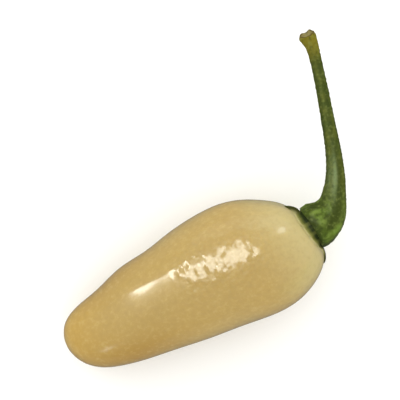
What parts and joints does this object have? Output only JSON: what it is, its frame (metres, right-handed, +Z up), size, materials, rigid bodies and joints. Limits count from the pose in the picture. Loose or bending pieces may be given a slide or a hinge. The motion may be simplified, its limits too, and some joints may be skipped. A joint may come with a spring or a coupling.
{
  "type": "white habanero pepper",
  "caption": "Cream-coloured habanero pepper as picked: a tapering, softly lobed pod with a toothed green calyx and a bent green stem, lying on its side.",
  "frame": {"origin": "the middle of the small flat of the belly that the pod lies on", "axes": "+X along the pod from its tip to its calyx, +Y towards the side that the stem bends to, +Z up"},
  "size_m": [0.0589, 0.0407, 0.0202],
  "materials": {
    "pod_skin": "smooth waxy fruit skin, cream to pale yellow, with a soft gloss",
    "calyx_green": "leafy green, olive towards the rim and brown at the tips of the teeth",
    "stem_green": "finely ribbed green stem with a satin bloom, pale where it was torn off"
  },
  "bodies": {
    "root": {"pod": "pod_skin", "calyx": "calyx_green", "stem": "stem_green"}
  },
  "joints": []
}
